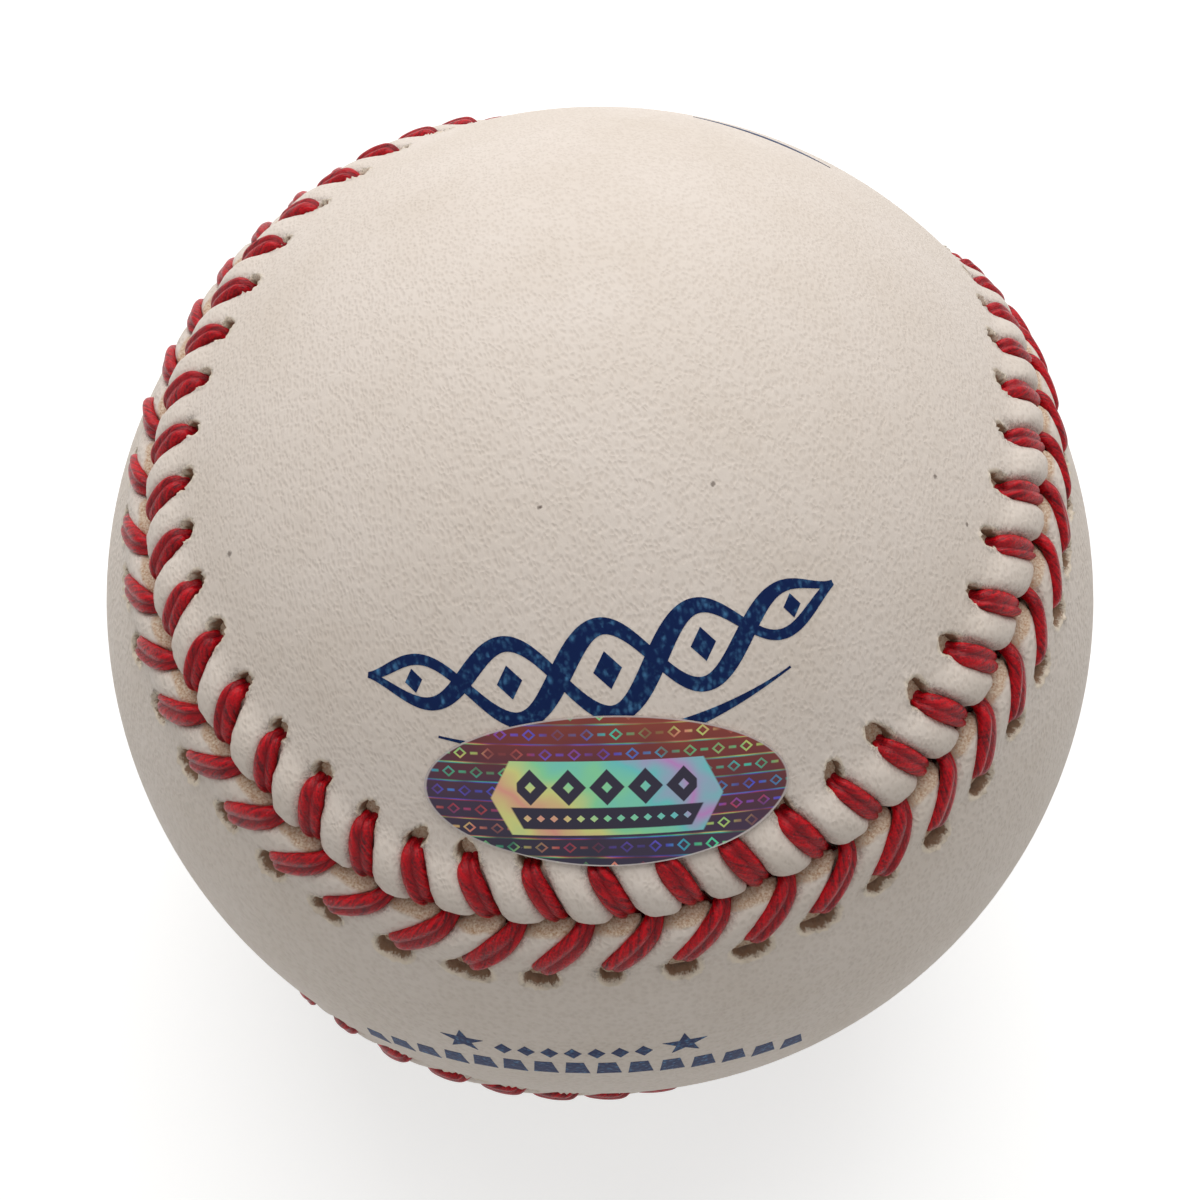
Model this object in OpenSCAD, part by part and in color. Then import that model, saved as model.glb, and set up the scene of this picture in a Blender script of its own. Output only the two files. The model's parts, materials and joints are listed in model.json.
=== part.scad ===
// A leather baseball, built from its cork centre outwards to the sewn cover.
// The origin is the middle of the ball. Panel A has its lobes up and down the Z axis
// and its neck on +Y. Panel B has its lobes along the X axis and its neck on -Y.

/* [Centre] */
// Diameter of the cork centre
core_d = 20.6; // [17:0.1:24]
// Thickness of the two black rubber shells round the cork
black_t = 4; // [3:0.1:5]
// Thickness of the ring that seals the joint of the black shells
gasket_t = 1.6; // [0.8:0.1:2.4]
// Thickness of the red rubber moulded round the black shells
red_t = 2.4; // [1.8:0.1:3.2]

/* [Windings] */
// Thickness of the four-ply grey wool winding
inner_wool_t = 14.5; // [13:0.1:16]
// Thickness of the three-ply white wool winding
white_wool_t = 1.7; // [1.2:0.1:2.4]
// Thickness of the three-ply grey wool winding
outer_wool_t = 2.15; // [1.6:0.05:2.8]
// Thickness of the fine finishing yarn
finish_yarn_t = 0.5; // [0.4:0.05:0.8]

/* [Cover] */
// Thickness of the leather
leather_t = 1.25; // [1.1:0.01:1.4]
// Width of a panel at its neck, between the seam's two middle lines
neck_w = 29.7; // [27:0.1:33]
// How far the seam swings out round each lobe, in degrees
seam_swing_angle = 22.9; // [20:0.1:25]
// Double stitches round the whole seam
stitch_count = 108; // [104:4:112]
// Gap between the edges of the two panels, where the threads dive
seam_gap = 1.4; // [1.3:0.05:1.7]
// Width of the raised margin, from the seam's middle line
margin_w = 4.9; // [4.7:0.1:5.4]
// Height by which the crossing threads lift the margin off the yarn
margin_lift = 0.6; // [0.55:0.01:0.65]

/* [Tabs and holes] */
// Height of a leather tab's crown over the ball
tab_h = 0.75; // [0.6:0.05:0.9]
// Radius of a tab's crown
tab_r = 3.9; // [3.4:0.1:4.4]
// Distance of a tab's crown from the seam's middle line
tab_off = 2; // [1.8:0.1:2.2]
// Distance of the needle holes from the seam's middle line
hole_off = 3.9; // [3.8:0.05:4.1]
// Length of a needle hole, along its stitch
hole_l = 1.7; // [1.6:0.05:1.9]

/* [Thread] */
// Width of a stitch where it lies on the leather
thread_w = 1.5; // [1.2:0.05:1.55]
// Thickness of a stitch where it lies on the leather
thread_t = 0.9; // [0.7:0.05:1]
// Thickness of the thread where it is pressed flat under the leather
pressed_t = 0.44; // [0.35:0.01:0.46]

/* [Sticker] */
// Length of the oval foil sticker
sticker_l = 19.1; // [16:0.1:20]
// Height of the oval foil sticker
sticker_h = 8.3; // [7:0.1:8.4]
// Thickness of the sticker
sticker_t = 0.12; // [0.08:0.01:0.2]
// Distance of the sticker's middle from the seam's middle line
sticker_off = 8.7; // [8.7:0.1:9.6]
// Where the sticker's middle lies along the seam, as a share of the seam's length
sticker_share = 0.78; // [0.74:0.005:0.82]
// Turn of the sticker out of line with the seam, in degrees
sticker_turn = -5; // [-6:0.5:5]

/* [Hidden] */

$fn = 96;

// Clearance between one layer and the next
layer_gap = 0.05;
// Overrun of every cut
over = 1;
// Clearance at each side of a stitch in its groove
stitch_play = 0.15;
// Depth of a stitch's groove below the ball
groove_sink = 0.1;
// Clearance over and under the thread
thread_play = 0.08;

// Radii from the middle outwards, one layer on the next
core_r = core_d / 2;
black_in_r = core_r + layer_gap;
black_out_r = black_in_r + black_t;
red_in_r = black_out_r + layer_gap;
red_out_r = red_in_r + red_t;
inner_wool_r = red_out_r + layer_gap;
white_wool_r = inner_wool_r + inner_wool_t + layer_gap;
outer_wool_r = white_wool_r + white_wool_t + layer_gap;
finish_yarn_r = outer_wool_r + outer_wool_t + layer_gap;
leather_in_r = finish_yarn_r + finish_yarn_t + layer_gap;
ball_r = leather_in_r + leather_t;

// The seam is one closed curve that swings four times over the ball.
// It is given as a direction from the middle, for a turn t of 0 to 720 degrees.
seam_angle = 720;
neck_angle = neck_w / 2 / ball_r * 180 / PI;
function seam_dir(t) =
    let (tilt = 90 - (90 - neck_angle) * cos(t), turn = t / 2 + seam_swing_angle * sin(2 * t))
    [sin(tilt) * cos(turn), cos(tilt), -sin(tilt) * sin(turn)];

// Stitches are spaced evenly along the seam, so its length is summed in short steps
seam_steps = 720;
function step_at(i) = seam_dir(i * seam_angle / seam_steps);
seam_run = [
    for (i = 0, run = 0; i <= seam_steps; run = run + norm(step_at(i + 1) - step_at(i)), i = i + 1) run
];
run_to_turn = [
    for (i = [0:seam_steps])
        [seam_run[i] / seam_run[seam_steps] * stitch_count, i * seam_angle / seam_steps]
];

// s counts stitches along the seam, d is a distance to the left of it on the ball, r a radius
function wrapped(s) = s - stitch_count * floor(s / stitch_count);
function seam_t(s) = lookup(wrapped(s), run_to_turn);
function unit(v) = v / norm(v);
function out_at(s) = seam_dir(seam_t(s));
function along_at(s) = unit(seam_dir(seam_t(s) + 0.5) - seam_dir(seam_t(s) - 0.5));
function left_at(s) = unit(cross(out_at(s), along_at(s)));
function place(s, d, r) =
    let (a = d / ball_r * 180 / PI)
    r * (cos(a) * out_at(s) + sin(a) * left_at(s));

// Side 1 is panel A, on the left of the seam, and side -1 is panel B, on its right.
// A stitch starts at its hole and leans forward to the gap by a share of the stitch spacing.
function lean_share(side) = side > 0 ? 0.38 : 0.72;

// Where a stitch lies over the leather, as a share of the way from its hole to the gap
function stitch_s(i, side, share) = i + lean_share(side) * share;
function stitch_d(side, share) = side * (hole_off + (seam_gap / 2 - hole_off) * share);
function stitch_point(i, side, share) = place(stitch_s(i, side, share), stitch_d(side, share), ball_r);

// Moves a child to the middle of a stitch, with X along the stitch and Z out of the ball
module on_stitch(i, side) {
    p = stitch_point(i, side, 0.5);
    z = unit(p);
    y = unit(cross(z, stitch_point(i, side, 1) - stitch_point(i, side, 0)));
    turned_to(cross(y, z), y, z, p) children();
}

// Sets a child's X, Y and Z along three unit directions and its origin at a point
module turned_to(x, y, z, p = [0, 0, 0]) {
    multmatrix([
        [x.x, y.x, z.x, p.x],
        [x.y, y.y, z.y, p.y],
        [x.z, y.z, z.z, p.z]
    ])
        children();
}

// A wedge from the middle of the ball out past it, over panel A as far as d from the seam.
// Ribs cross the panel from one side of the seam to the other, over a ridge on the plane x = 0.
wedge_share = 1.5;
wedge_r = ball_r * wedge_share;
module panel_wedge(d) {
    n = stitch_count;
    half = n / 2;
    rim = [for (i = [0:n - 1]) place(i, d, wedge_r)];
    ridge = [for (p = rim) wedge_r * unit([0, p.y, p.z])];
    // Two stitches that face each other across the panel share one ridge point,
    // and the stitch at the end of a lobe faces itself, with the ridge on the rim
    function facing(i) = (half - i + n) % n;
    function ridge_of(i) = facing(i) == i ? i : n + min(i, facing(i));
    sides = [for (i = [0:n - 1]) [2 * n, i, (i + 1) % n]];
    ribs = [
        for (i = [0:n - 1])
            let (j = (i + 1) % n)
            each [[i, ridge_of(j), j], [i, ridge_of(i), ridge_of(j)]]
    ];
    polyhedron(
        concat(rim, ridge, [[0, 0, 0]]),
        [for (f = concat(sides, ribs)) if (f[0] != f[1] && f[1] != f[2] && f[2] != f[0]) f]
    );
}

module shell(in_r, out_r) {
    difference() {
        sphere(out_r);
        sphere(in_r);
    }
}

module cork_core() {
    color("peru") sphere(core_r);
}

// Half of the black shell, from the gasket up to the pole
module black_half() {
    intersection() {
        shell(black_in_r, black_out_r);
        translate([-black_out_r - over, -black_out_r - over, gasket_t / 2 + layer_gap])
            cube([2 * (black_out_r + over), 2 * (black_out_r + over), black_out_r + over]);
    }
}

module black_rubber_shell_a() {
    color("#262626") black_half();
}

module black_rubber_shell_b() {
    color("#262626") mirror([0, 0, 1]) black_half();
}

module rubber_gasket_ring() {
    color("firebrick")
        intersection() {
            shell(black_in_r, black_out_r);
            translate([0, 0, -gasket_t / 2])
                cylinder(r = black_out_r + over, h = gasket_t);
        }
}

module red_rubber_cover() {
    color("indianred") shell(red_in_r, red_out_r);
}

module grey_wool_winding_inner() {
    color("#8f8a80") shell(inner_wool_r, inner_wool_r + inner_wool_t);
}

module white_wool_winding() {
    color("#e9e2d0") shell(white_wool_r, white_wool_r + white_wool_t);
}

module grey_wool_winding_outer() {
    color("#98938a") shell(outer_wool_r, outer_wool_r + outer_wool_t);
}

module finishing_yarn_winding() {
    color("#f1ead8") shell(finish_yarn_r, finish_yarn_r + finish_yarn_t);
}

// A ball whose poles lie in the middle of panel A's lobes
module turned_ball(r) {
    rotate(-90) sphere(r);
}

// Panel A's side of the seam as it is, or panel B's, half a turn round the line between +X and +Z
module on_panel(side) {
    rotate(side > 0 ? 0 : 180, [1, 0, 1]) children();
}

// A tab's crown lies half-way between two stitches, and its ball's poles lie inside the leather
module tab(i, side) {
    s = i + lean_share(side) * (hole_off - tab_off) / (hole_off - seam_gap / 2) + 0.5;
    p = place(s, side * tab_off, ball_r + tab_h - tab_r);
    into = -unit(p);
    across = unit(cross(into, along_at(s)));
    turned_to(into, cross(across, into), across, p) sphere(tab_r, $fn = 48);
}

// A stitch's groove, pressed across the tabs to the seam, with its needle hole at the far end
module stitch_cut(i, side) {
    groove_l = norm(stitch_point(i, side, 1) - stitch_point(i, side, 0));
    hole_x = -groove_l / 2;
    on_stitch(i, side)
        rotate([90, 0, 0])
            translate([0, 0, -thread_w / 2 - stitch_play])
                linear_extrude(thread_w + 2 * stitch_play)
                    polygon([
                        [hole_x - hole_l / 2, -leather_t - over],
                        [hole_x + hole_l / 2, -leather_t - over],
                        [hole_x + hole_l / 2, -groove_sink],
                        [groove_l / 2 + over, -groove_sink],
                        [groove_l / 2 + over, tab_h + over],
                        [hole_x - hole_l / 2, tab_h + over]
                    ]);
}

// A panel: its leather, its tabs and stitch cuts, and the space under its raised margin
module cover_panel(side) {
    intersection() {
        on_panel(side) panel_wedge(seam_gap / 2);
        difference() {
            union() {
                on_panel(side) turned_ball(ball_r);
                for (i = [0:stitch_count - 1])
                    tab(i, side);
            }
            on_panel(side) turned_ball(leather_in_r);
            on_panel(side)
                difference() {
                    turned_ball(leather_in_r + margin_lift);
                    panel_wedge(margin_w);
                }
            for (i = [0:stitch_count - 1])
                stitch_cut(i, side);
        }
    }
}

module cover_panel_a() {
    color("#e6dfd3") cover_panel(1);
}

module cover_panel_b() {
    color("#ddd5c8") cover_panel(-1);
}

// The section of the thread as shares of its width and thickness, flat side down
thread_shares = [[-0.36, -0.5], [0.36, -0.5], [0.5, 0.05], [0, 0.5], [-0.5, 0.05]];
// Width of the thread under the leather, and its sizes where it is squeezed into the gap
pressed_w_share = 0.9;
squeezed_w_share = 0.66;
pressed_w = thread_w * pressed_w_share;
squeezed_w = thread_w * squeezed_w_share;
pressed_r = leather_in_r + thread_play + pressed_t / 2;
resting_r = ball_r - groove_sink + thread_play + thread_t / 2;
// How far along its stitch the thread clears the hole's lip
lip_share = 0.18;
// How far past the gap's middle the thread reaches as it dives, and how far short of it it turns down
dive_share = 0.32;
brink_share = 0.25;
// How far along to the next stitch the thread runs flat before it rises
rise_share = 0.86;

// One stitch as five stations: under its hole, over the hole's lip, at the brink of the gap,
// in the gap, and pressed flat under the other panel. Each is a point, a width and a thickness.
function stitch_stations(i, side) =
    let (tip = i + lean_share(side))
    [
        [place(i, side * (hole_off + hole_l / 8), pressed_r), squeezed_w, pressed_t],
        [place(stitch_s(i, side, lip_share), stitch_d(side, lip_share), resting_r), thread_w, thread_t],
        [place(tip, side * seam_gap * brink_share, resting_r), squeezed_w, thread_t],
        [place(tip, -side * seam_gap * dive_share, pressed_r), squeezed_w, pressed_t],
        [place(i + rise_share, -side * (hole_off - hole_l / 2), pressed_r), pressed_w, pressed_t]
    ];

// A thread's stitches lie on the two panels by turns
function thread_stations(first_side) = [
    for (i = [0:stitch_count - 1])
        each stitch_stations(i, i % 2 == 0 ? first_side : -first_side)
];

// Sweeps the thread's section along its stations as one unbroken, open tube
module thread(first_side) {
    stations = thread_stations(first_side);
    n = len(stations);
    m = len(thread_shares);
    points = [
        for (k = [0:n - 1])
            let (
                p = stations[k][0],
                ahead = unit(stations[min(k + 1, n - 1)][0] - stations[max(k - 1, 0)][0]),
                across = unit(cross(p, ahead)),
                up = cross(ahead, across)
            )
            for (q = thread_shares)
                p + across * q.x * stations[k][1] + up * q.y * stations[k][2]
    ];
    walls = [
        for (k = [0:n - 2])
            for (j = [0:m - 1])
                let (a = k * m + j, b = k * m + (j + 1) % m)
                each [[a, b + m, b], [a, a + m, b + m]]
    ];
    start = [for (j = [0:m - 1]) j];
    end = [for (j = [m - 1:-1:0]) (n - 1) * m + j];
    polyhedron(points, concat(walls, [start, end]));
}

module stitching_thread_a() {
    color("crimson") thread(1);
}

module stitching_thread_b() {
    color("#c01030") thread(-1);
}

// The sticker lies on panel A near the end of its upper lobe, almost along the seam
module oval_sticker() {
    s = stitch_count * sticker_share;
    z = unit(place(s, sticker_off, ball_r));
    along = along_at(s);
    x = unit(along - (along * z) * z);
    sides = 48;
    color("#7a3a4c")
        intersection() {
            shell(ball_r + layer_gap, ball_r + layer_gap + sticker_t);
            turned_to(x, cross(z, x), z)
                rotate(sticker_turn)
                    linear_extrude(ball_r + tab_h + over)
                        polygon([
                            for (k = [0:sides - 1])
                                let (turn = k * 360 / sides)
                                [sticker_l / 2 * cos(turn), sticker_h / 2 * sin(turn)]
                        ]);
        }
}

cork_core();
black_rubber_shell_a();
black_rubber_shell_b();
rubber_gasket_ring();
red_rubber_cover();
grey_wool_winding_inner();
white_wool_winding();
grey_wool_winding_outer();
finishing_yarn_winding();
cover_panel_a();
cover_panel_b();
stitching_thread_a();
stitching_thread_b();
oval_sticker();
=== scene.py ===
import json
import math
import bmesh
import bpy
import numpy as np
from mathutils import Matrix, Vector

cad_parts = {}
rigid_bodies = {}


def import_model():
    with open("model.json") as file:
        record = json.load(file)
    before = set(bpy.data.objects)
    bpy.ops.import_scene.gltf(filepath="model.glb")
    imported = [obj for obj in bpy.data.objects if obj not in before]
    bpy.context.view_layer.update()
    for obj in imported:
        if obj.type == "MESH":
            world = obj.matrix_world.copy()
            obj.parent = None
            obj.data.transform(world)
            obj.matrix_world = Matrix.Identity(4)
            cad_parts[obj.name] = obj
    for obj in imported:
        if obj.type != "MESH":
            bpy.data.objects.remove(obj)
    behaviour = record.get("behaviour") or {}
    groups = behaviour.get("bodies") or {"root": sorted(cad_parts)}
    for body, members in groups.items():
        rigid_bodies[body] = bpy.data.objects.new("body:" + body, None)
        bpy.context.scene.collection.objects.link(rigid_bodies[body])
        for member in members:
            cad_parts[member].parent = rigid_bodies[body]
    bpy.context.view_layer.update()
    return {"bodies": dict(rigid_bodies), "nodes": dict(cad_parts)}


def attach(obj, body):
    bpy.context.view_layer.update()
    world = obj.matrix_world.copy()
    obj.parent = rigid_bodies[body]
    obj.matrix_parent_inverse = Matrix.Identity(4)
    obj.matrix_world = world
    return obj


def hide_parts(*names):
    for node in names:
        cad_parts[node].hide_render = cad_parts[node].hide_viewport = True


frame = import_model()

# Cork centre
# A ball of ground cork bound with rubber and pressed in a mould.
# It shows a tight mix of brown granules, with darker rubber between them.
CORK_BROWNS = [(0, "#7d5233"), (0.5, "#9a6a42"), (1, "#c39a69")]
CORK_BINDER = "#3f2a1e"
cork_granule_mm = 0.9


def linear(colour):
    """An sRGB hex colour as the linear RGBA that a socket holds."""
    parts = [int(colour[i:i + 2], 16) / 255 for i in (1, 3, 5)]
    return [p / 12.92 if p <= 0.04045 else ((p + 0.055) / 1.055) ** 2.4 for p in parts] + [1]


def add(tree, kind, inputs=None, stops=None, **settings):
    """Adds a shader node and returns its outputs. inputs maps a socket to a constant or to another node's
    output, and stops are the places and colours of a colour ramp."""
    node = tree.nodes.new("ShaderNode" + kind)
    for name, value in settings.items():
        setattr(node, name, value)
    if stops:
        node.color_ramp.elements.remove(node.color_ramp.elements[1])
    for number, (place, colour) in enumerate(stops or []):
        element = node.color_ramp.elements.new(place) if number else node.color_ramp.elements[0]
        element.position = place
        element.color = linear(colour) if isinstance(colour, str) else [colour, colour, colour, 1]
    for socket, value in (inputs or {}).items():
        if isinstance(value, bpy.types.NodeSocket):
            tree.links.new(value, node.inputs[socket])
        elif isinstance(value, str):
            node.inputs[socket].default_value = linear(value)
        else:
            node.inputs[socket].default_value = value
    return node.outputs


def new_material(name):
    """An empty material, and its node tree."""
    material = bpy.data.materials.new(name)
    material.use_nodes = True
    material.node_tree.nodes.clear()
    return material, material.node_tree


def surface(tree, inputs):
    """Ends a material in one Principled shader."""
    shader = add(tree, "BsdfPrincipled", inputs)["BSDF"]
    add(tree, "OutputMaterial", {"Surface": shader})


def in_mm(tree, stretch=(1, 1, 1), turn=(0, 0, 0)):
    """The object's coordinates in mm, on turned axes, drawn out along an axis by a stretch over 1."""
    scale = [s / 1000 for s in stretch]
    spot = add(tree, "TexCoord")["Object"]
    return add(tree, "Mapping", {"Vector": spot, "Rotation": turn, "Scale": scale}, vector_type="TEXTURE")[0]


def dress(name, material):
    """Gives a CAD node its material."""
    mesh = frame["nodes"][name].data
    mesh.materials.clear()
    mesh.materials.append(material)


pressed_cork, tree = new_material("pressed cork and rubber")
packed = {"Vector": in_mm(tree), "Scale": 1 / cork_granule_mm}
granules = add(tree, "TexVoronoi", packed)["Color"]
binder = add(tree, "TexVoronoi", packed, feature="DISTANCE_TO_EDGE")[0]
browns = add(tree, "ValToRGB", {0: granules}, CORK_BROWNS)[0]
seams = add(tree, "ValToRGB", {0: binder}, [(0, 1.0), (0.12, 0.0)])[0]
mixed = add(tree, "Mix", {0: seams, 6: browns, 7: CORK_BINDER}, data_type="RGBA")[2]
relief = add(tree, "Bump", {"Height": binder, "Strength": 0.6, "Distance": 0.0003})[0]
surface(tree, {"Base Color": mixed, "Roughness": 0.85, "Normal": relief})
dress("cork_core", pressed_cork)

# Black rubber half-shells
# Two hemispheres of moulded black rubber, closed over the cork.
# They show a dull skin with faint grey bloom and mould marks.
RUBBER_BLACKS = [(0.3, "#1b1a1a"), (0.7, "#302e2d")]
bloom_mm = 4
# The skin of a moulded rubber is finer than this, and is drawn this coarse so that it shows
rubber_skin_mm = 0.4

black_rubber, tree = new_material("moulded black rubber")
bloom = add(tree, "TexNoise", {"Vector": in_mm(tree), "Scale": 1 / bloom_mm, "Detail": 6})[0]
skin = add(tree, "TexNoise", {"Vector": in_mm(tree), "Scale": 1 / rubber_skin_mm, "Detail": 4})[0]
relief = add(tree, "Bump", {"Height": skin, "Strength": 0.3, "Distance": 0.0001})[0]
blacks = add(tree, "ValToRGB", {0: bloom}, RUBBER_BLACKS)[0]
surface(tree, {"Base Color": blacks, "Roughness": 0.7, "Normal": relief})
dress("black_rubber_shell_a", black_rubber)
dress("black_rubber_shell_b", black_rubber)

# Red rubber gasket and cover
# A flat ring of soft red rubber between the half-shells, and a skin of the same rubber moulded over both.
# The red has the dusty, uneven look of talc left from the mould.
RUBBER_REDS = [(0.3, "#8f2b25"), (0.7, "#b04a3f")]

red_rubber, tree = new_material("moulded red rubber")
talc = add(tree, "TexNoise", {"Vector": in_mm(tree), "Scale": 1 / bloom_mm, "Detail": 8})[0]
skin = add(tree, "TexNoise", {"Vector": in_mm(tree), "Scale": 1 / rubber_skin_mm, "Detail": 4})[0]
relief = add(tree, "Bump", {"Height": skin, "Strength": 0.3, "Distance": 0.0001})[0]
reds = add(tree, "ValToRGB", {0: talc}, RUBBER_REDS)[0]
surface(tree, {"Base Color": reds, "Roughness": 0.75, "Normal": relief})
dress("rubber_gasket_ring", red_rubber)
dress("red_rubber_cover", red_rubber)

# Wool windings
# Four layers of yarn, wound tight by machine: thick grey wool, thin white wool, grey wool and fine yarn.
# Each layer shows turns that lie side by side and cross at all angles, with fuzz on top.
BODY = next(iter(frame["bodies"]))
# Each row is the yarn's name, slot, dark colour and pale colour, the layer's inner and outer radius, and the
# yarn's thickness, plies and turns. The yarns have nearly their loose thickness, so that few turns cover it.
WOOLS = {
    "grey_wool_winding_inner": (
        "four-ply grey wool", "grey_wool", "#77716a", "#aaa398", 16.85, 31.35, 2.0, 4, 120),
    "white_wool_winding": (
        "three-ply white wool", "white_wool", "#c9c0ac", "#f0e9da", 31.4, 33.1, 1.1, 3, 200),
    "grey_wool_winding_outer": (
        "three-ply grey wool", "grey_wool", "#7f7970", "#b5aea1", 33.15, 35.3, 1.2, 3, 200),
    "finishing_yarn_winding": (
        "fine white finishing yarn", "finishing_yarn", "#d6ceba", "#f5efe2", 35.35, 35.85, 0.4, 3, 300),
}
# The plies turn once round the yarn in 2.4 times its thickness
ply_turn = 2.4
# A fibre of wool is some 0.03 mm thick, and the fuzz is drawn coarser so that it shows
fuzz_mm = 0.2


def unit(v):
    """Vectors drawn out to a length of 1."""
    return v / np.linalg.norm(v, axis=-1, keepdims=True)


def band(lower, upper):
    """Quads between two closed rows of vertices."""
    return np.stack([lower, np.roll(lower, -1), np.roll(upper, -1), upper], 1).tolist()


def new_piece(name, points, faces, material, replaced=(), masks=None, sharp_turn=None):
    """A piece of the ball from points in mm, with its masks as attributes, that rides on the ball.
    Edges that turn by more than sharp_turn degrees are kept sharp."""
    mesh = bpy.data.meshes.new(name)
    mesh.from_pydata((np.asarray(points) / 1000).tolist(), [], faces)
    form = bmesh.new()
    form.from_mesh(mesh)
    bmesh.ops.recalc_face_normals(form, faces=form.faces)
    form.to_mesh(mesh)
    form.free()
    mesh.shade_smooth()
    if sharp_turn:
        mesh.set_sharp_from_angle(angle=math.radians(sharp_turn))
    mesh.materials.append(material)
    for mask, values in (masks or {}).items():
        mesh.attributes.new(mask, "FLOAT", "POINT").data.foreach_set("value", np.asarray(values, np.float32))
    piece = bpy.data.objects.new(name, mesh)
    bpy.context.scene.collection.objects.link(piece)
    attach(piece, BODY)
    if replaced:
        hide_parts(*replaced)
    return piece


def wool(name, dark, pale, yarn_mm, plies):
    """Spun wool. Its plies turn round the yarn and catch the light as slanting ridges, dulled by fuzz. Their
    colour is paler on the ridges and darker between them, as painted light and shade.
    """
    material, tree = new_material(name)
    run = add(tree, "Attribute", attribute_name="run")["Fac"]
    turned = add(tree, "Attribute", attribute_name="round")["Fac"]
    turned = add(tree, "Math", {0: turned, 1: plies}, operation="MULTIPLY")[0]
    plies_a_mm = plies / (ply_turn * yarn_mm)
    ply = add(tree, "Math", {0: run, 1: plies_a_mm, 2: turned}, operation="MULTIPLY_ADD")[0]
    ply = add(tree, "Math", {0: ply, 1: 0.5}, operation="PINGPONG")[0]
    fuzz = add(tree, "TexNoise",
               {"Vector": in_mm(tree), "Scale": 1 / fuzz_mm, "Detail": 4, "Roughness": 0.7})[0]
    height = add(tree, "Math", {0: ply, 1: 1.2, 2: fuzz}, operation="MULTIPLY_ADD")[0]
    # Paler on the ply ridges and darker between them: painted light and shade, with the fuzz making the tone
    # vary at random
    colour = add(tree, "ValToRGB", {0: height}, [(0.35, dark), (1.0, pale)])[0]
    relief = add(tree, "Bump", {"Height": height, "Strength": 0.9, "Distance": yarn_mm / 6000})[0]
    surface(tree, {"Base Color": colour, "Roughness": 0.9, "Sheen Weight": 0.3, "Normal": relief})
    return material


def wound_yarn(name, inner_r, outer_r, yarn_mm, turns, material):
    """A layer of yarn: a wound body, and on it the last turns, nearly great circles whose plane wanders."""
    steps, sides = 48, 5
    # From the first turn to the last the plane tips to and fro, and each turn swings it round a little
    tip_waves = 7.3
    swing_a_turn = 0.137
    n = np.arange(turns * steps + 1)
    around = 2 * np.pi * n / steps
    share = n / n[-1]
    tip = np.arccos(0.97 * 2 / np.pi * np.arcsin(np.sin(2 * np.pi * tip_waves * share)))
    swing = 2 * np.pi * turns * swing_a_turn * share
    flat = np.stack([np.cos(around), np.sin(around) * np.cos(tip), np.sin(around) * np.sin(tip)], -1)
    out = np.stack([flat[:, 0] * np.cos(swing) - flat[:, 1] * np.sin(swing),
                    flat[:, 0] * np.sin(swing) + flat[:, 1] * np.cos(swing), flat[:, 2]], -1)
    ahead = unit(np.gradient(out, axis=0))
    side = np.cross(out, ahead)
    climb = min(yarn_mm, outer_r - inner_r - yarn_mm - 0.1)
    centre_r = outer_r - yarn_mm / 2 - climb * (1 - share)
    turn = np.arange(sides) * 2 * np.pi / sides
    rings = (out * centre_r[:, None])[:, None] + yarn_mm / 2 * (
        side[:, None] * np.cos(turn)[:, None] + out[:, None] * np.sin(turn)[:, None])
    ids = np.arange(rings.shape[0] * sides).reshape(-1, sides)
    faces = [f for k in range(len(ids) - 1) for f in band(ids[k], ids[k + 1])]
    faces += [ids[0][::-1].tolist(), ids[-1].tolist()]
    points = [rings.reshape(-1, 3)]
    base = ids.size

    # The body under them, a hollow ball
    ball = bmesh.new()
    bmesh.ops.create_icosphere(ball, subdivisions=5, radius=1)
    unit_points = np.array([v.co for v in ball.verts])
    unit_faces = [[v.index for v in f.verts] for f in ball.faces]
    ball.free()
    for r in (max(inner_r + 0.05, outer_r - 1.3 * yarn_mm), inner_r):
        points.append(unit_points * r)
        faces += [[base + v for v in f] for f in unit_faces]
        base += len(unit_points)
    rest = base - ids.size
    masks = {"run": np.append(np.repeat(around * outer_r, sides), np.zeros(rest)),
             "round": np.append(np.tile(turn / (2 * np.pi), len(ids)), np.zeros(rest))}
    return new_piece(name + "_yarn", np.vstack(points), faces, material, [name], masks)


for node, (name, slot, dark, pale, inner_r, outer_r, yarn_mm, plies, turns) in WOOLS.items():
    wound_yarn(node, inner_r, outer_r, yarn_mm, turns, wool(name, dark, pale, yarn_mm, plies))

# Cover panels
# Two figure-eight panels of alum-tanned white cowhide, 1.25 mm thick, damped and stretched over the yarn.
# The threads pull the edges down between the needle holes, so the leather stands up in tabs, and the cut
# edge shows its raw brown fibre in the trough of the seam.
ball_r = 37.15
leather_t = 1.25
leather_in_r = ball_r - leather_t
# The seam runs round as a panel's neck and a swing to and fro, in degrees, give it
neck_w = 29.7
neck_turn = math.degrees(neck_w / 2 / ball_r)
seam_swing = 22.9
stitch_count = 108
seam_gap = 1.4
hole_off = 3.9
# As far from the seam as this, the leather is lifted for the threads that cross under it
margin_w = 4.9
margin_lift = 0.6


def seam_dir(t):
    """The seam's direction from the middle of the ball, for a turn t of 0 to 720 degrees."""
    tilt = np.radians(90 - (90 - neck_turn) * np.cos(np.radians(t)))
    turn = np.radians(t / 2 + seam_swing * np.sin(np.radians(2 * t)))
    return np.stack([np.sin(tilt) * np.cos(turn), np.cos(tilt), -np.sin(tilt) * np.sin(turn)], -1)


seam_turns = np.linspace(0, 720, 2881)
seam_steps = np.linalg.norm(np.diff(seam_dir(seam_turns), axis=0), axis=1)
seam_run = np.append(0, np.cumsum(seam_steps))
stitch_mm = seam_run[-1] * ball_r / stitch_count
seam_run = seam_run / seam_run[-1] * stitch_count


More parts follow.
